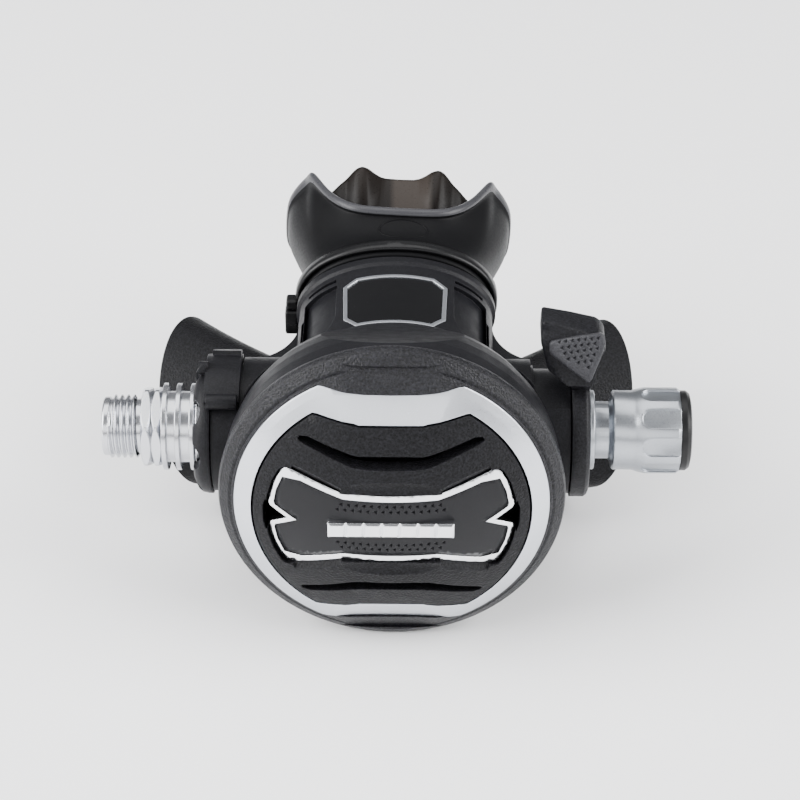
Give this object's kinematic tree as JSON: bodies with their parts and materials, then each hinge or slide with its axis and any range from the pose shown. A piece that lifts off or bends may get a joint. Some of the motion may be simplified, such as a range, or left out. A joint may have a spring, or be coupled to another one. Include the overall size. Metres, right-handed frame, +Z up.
{
  "type": "scuba regulator second stage",
  "caption": "Diving demand valve with a domed purge cover, threaded hose inlet, fluted adjusting knob, airflow lever, exhaust tee and silicone mouthpiece.",
  "frame": {"origin": "middle of the bounding box's footprint, on the surface that the regulator lies on", "axes": "+X from the hose inlet to the adjusting knob along the valve's axis, +Y from the purge cover to the mouthpiece, +Z up"},
  "size_m": [0.1316, 0.1208, 0.0754],
  "materials": {
    "case_black": "fine-grained moulded nylon",
    "ring_black": "fine-grained moulded nylon",
    "trim_silver": "satin",
    "cover_black": "soft-touch grain",
    "badge_chrome": "polished",
    "badge_dark": "satin with fine dimples",
    "spring_steel": "drawn wire",
    "guard_grey": "moulded",
    "membrane": "translucent grey silicone",
    "lever_steel": "stamped",
    "valve_plate": "nickel plated",
    "brass_seat": "turned",
    "poppet_white": "moulded acetal",
    "seal_black": "smooth",
    "knob_silver": "satin anodised",
    "inlet_chrome": "plated, bright",
    "lever_black": "fine-grained moulded nylon",
    "pad_grey": "dimpled",
    "tee_black": "smooth satin",
    "mouth_grey": "smoky translucent silicone",
    "tie_black": "satin",
    "plate_silver": "satin",
    "plate_dark": "satin"
  },
  "bodies": {
    "housing": {"case": "case_black", "front_ring": "ring_black", "trim_ring": "trim_silver", "front_guard": "guard_grey", "diaphragm": "membrane", "lever_pin": "lever_steel", "valve_barrel": "valve_plate", "orifice_seat": "brass_seat", "adjuster_nut": "valve_plate", "inlet_connector": "inlet_chrome", "inlet_oring": "seal_black", "barrel_nut": "inlet_chrome", "inlet_collar": "lever_black", "collar_clip": "lever_black", "exhaust_valve": "membrane", "exhaust_tee": "tee_black", "mouthpiece": "mouth_grey", "mouthpiece_tie": "tie_black", "neck_frame": "plate_silver", "neck_plate": "plate_dark"},
    "purge": {"purge_cover": "cover_black", "badge_frame": "badge_chrome", "badge_panel": "badge_dark", "badge_bar": "badge_chrome", "purge_spring": "spring_steel"},
    "disc": {"diaphragm_disc": "guard_grey"},
    "lever": {"demand_lever": "lever_steel"},
    "poppet": {"poppet": "poppet_white", "poppet_seat": "seal_black", "poppet_spring": "spring_steel"},
    "pad": {"spring_pad": "valve_plate", "pad_oring": "seal_black", "knob_screw": "spring_steel"},
    "knob": {"knob": "knob_silver", "knob_cap": "seal_black"},
    "airflow": {"airflow_lever": "lever_black", "lever_pad": "pad_grey", "airflow_vane": "guard_grey"}
  },
  "joints": [
    {"name": "purge_press", "type": "slide", "parent": "housing", "child": "purge", "axis": [0, 1, 0], "range_m": [0, 0.003], "stiffness_N_per_m": 1200, "springref_m": -0.001, "deforming": ["purge_spring"]},
    {"name": "disc_slide", "type": "slide", "parent": "housing", "child": "disc", "axis": [0, 1, 0], "range_m": [0, 0.0031], "deforming": ["diaphragm"]},
    {"name": "lever_tilt", "type": "hinge", "parent": "housing", "child": "lever", "pos_m": [0.01435, -0.03095, 0.0377], "axis": [0, 0, -1], "range_deg": [0, 10.6]},
    {"name": "poppet_slide", "type": "slide", "parent": "housing", "child": "poppet", "axis": [1, 0, 0], "range_m": [0, 0.0012], "deforming": ["poppet_spring"]},
    {"name": "pad_slide", "type": "slide", "parent": "housing", "child": "pad", "axis": [-1, 0, 0], "range_m": [0, 0.003]},
    {"name": "knob_turn", "type": "hinge", "parent": "pad", "child": "knob", "pos_m": [0.05735, -0.02155, 0.0377], "axis": [-1, 0, 0], "range_deg": [0, 1081]},
    {"name": "airflow_turn", "type": "hinge", "parent": "housing", "child": "airflow", "pos_m": [0.04135, -0.02155, 0.0377], "axis": [-1, 0, 0], "range_deg": [-12, 42]}
  ],
  "couplings": [
    {"joint": "disc_slide", "follows": "purge_press", "ratio": 1},
    {"joint": "lever_tilt", "follows": "purge_press", "rad_per_m": 60.3},
    {"joint": "poppet_slide", "follows": "purge_press", "ratio": 0.36},
    {"joint": "knob_turn", "follows": "pad_slide", "rad_per_m": 6283.2}
  ]
}
